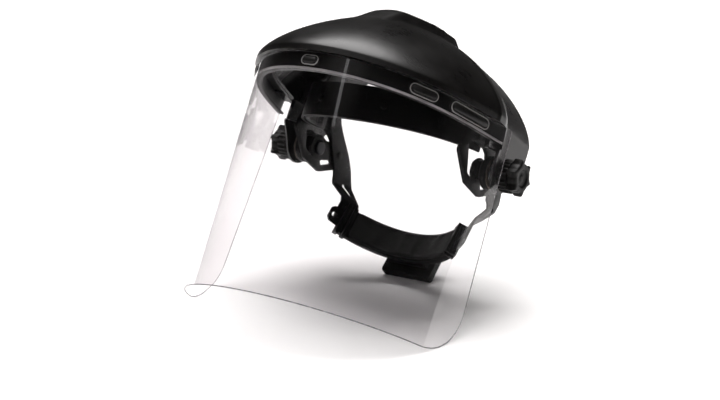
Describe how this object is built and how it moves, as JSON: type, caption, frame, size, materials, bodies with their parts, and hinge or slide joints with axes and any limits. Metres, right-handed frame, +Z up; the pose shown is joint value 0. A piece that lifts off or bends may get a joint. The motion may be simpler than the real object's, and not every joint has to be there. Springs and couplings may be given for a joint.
{
  "type": "face shield with ratchet headgear",
  "caption": "Clear wraparound face shield on a black moulded crown that tilts on two side pivots of a ratchet headband.",
  "frame": {"origin": "on the ground under the middle of the standing object's bounding box", "axes": "+X towards the wearer's left, -Y forwards out of the window, +Z up; X = 0 is the mirror plane"},
  "size_m": [0.2592, 0.3002, 0.2504],
  "materials": {
    "clear_polycarbonate": "clear, glossy",
    "crown_plastic": "satin black",
    "headband_plastic": "matt black",
    "knob_plastic": "satin black",
    "sweatband_foam": "black cloth over foam",
    "zinc_steel": "zinc plated",
    "black_steel": "black oxide",
    "brass": "turned",
    "fibre": "pressed fibre"
  },
  "bodies": {
    "headgear": {"brow_band": "headband_plastic", "brow_pad": "sweatband_foam", "pad_stud_1": "headband_plastic", "pad_stud_2": "headband_plastic", "pad_stud_3": "headband_plastic", "pad_stud_4": "headband_plastic", "pivot_bracket_left": "headband_plastic", "pivot_hub_left": "headband_plastic", "pivot_bolt_left": "black_steel", "friction_washer_left": "fibre", "spring_washer_left": "zinc_steel", "rear_arm_left": "headband_plastic", "top_strap_left": "headband_plastic", "bracket_rivet_left_1": "headband_plastic", "bracket_rivet_left_2": "headband_plastic", "bracket_rivet_left_3": "headband_plastic", "bracket_rivet_left_4": "headband_plastic", "pivot_bracket_right": "headband_plastic", "pivot_hub_right": "headband_plastic", "pivot_bolt_right": "black_steel", "friction_washer_right": "fibre", "spring_washer_right": "zinc_steel", "rear_arm_right": "headband_plastic", "top_strap_right": "headband_plastic", "bracket_rivet_right_1": "headband_plastic", "bracket_rivet_right_2": "headband_plastic", "bracket_rivet_right_3": "headband_plastic", "bracket_rivet_right_4": "headband_plastic", "top_strap_pin_1": "headband_plastic", "top_strap_pin_2": "headband_plastic", "nape_sleeve": "headband_plastic", "nape_pad": "sweatband_foam", "ratchet_housing": "knob_plastic", "detent_spring": "zinc_steel"},
    "visor": {"crown_shell": "crown_plastic", "crown_side_left": "crown_plastic", "crown_side_right": "crown_plastic", "crown_ear_left": "crown_plastic", "crown_ear_right": "crown_plastic", "window_rail": "headband_plastic", "window": "clear_polycarbonate", "rail_rivet_1": "headband_plastic", "rail_rivet_2": "headband_plastic", "rail_rivet_3": "headband_plastic", "rail_rivet_4": "headband_plastic", "rail_rivet_5": "headband_plastic", "rail_rivet_6": "headband_plastic"},
    "tension_knob_left_body": {"tension_knob_left": "knob_plastic", "knob_insert_left": "brass"},
    "tension_knob_right_body": {"tension_knob_right": "knob_plastic", "knob_insert_right": "brass"},
    "ratchet": {"ratchet_knob": "knob_plastic", "ratchet_pinion": "knob_plastic", "ratchet_screw": "zinc_steel"},
    "rack_left_body": {"rack_left": "headband_plastic"},
    "rack_right_body": {"rack_right": "headband_plastic"}
  },
  "joints": [
    {"name": "visor_tilt", "type": "hinge", "parent": "headgear", "child": "visor", "pos_m": [0, 0.06471, 0.1161], "axis": [-1, 0, 0], "range_deg": [0, 75]},
    {"name": "tension_knob_left_turn", "type": "hinge", "parent": "headgear", "child": "tension_knob_left_body", "pos_m": [0.12, 0.06471, 0.1161], "axis": [1, 0, 0], "continuous": true},
    {"name": "tension_knob_right_turn", "type": "hinge", "parent": "headgear", "child": "tension_knob_right_body", "pos_m": [-0.12, 0.06471, 0.1161], "axis": [-1, 0, 0], "continuous": true},
    {"name": "ratchet_turn", "type": "hinge", "parent": "headgear", "child": "ratchet", "pos_m": [0, 0.10053, 0.01689], "axis": [0, 0.6636, -0.7481], "range_deg": [-145, 180]},
    {"name": "rack_left_slide", "type": "hinge", "parent": "headgear", "child": "rack_left_body", "pos_m": [0, 0.03815, 0.08721], "axis": [0, 0.7481, 0.6636], "range_deg": [-7.2, 5.8]},
    {"name": "rack_right_slide", "type": "hinge", "parent": "headgear", "child": "rack_right_body", "pos_m": [0, 0.03815, 0.08721], "axis": [0, 0.7481, 0.6636], "range_deg": [-5.7, 7.1]}
  ],
  "couplings": [
    {"joint": "rack_left_slide", "follows": "ratchet_turn", "ratio": -0.039253},
    {"joint": "rack_right_slide", "follows": "ratchet_turn", "ratio": 0.03845}
  ]
}
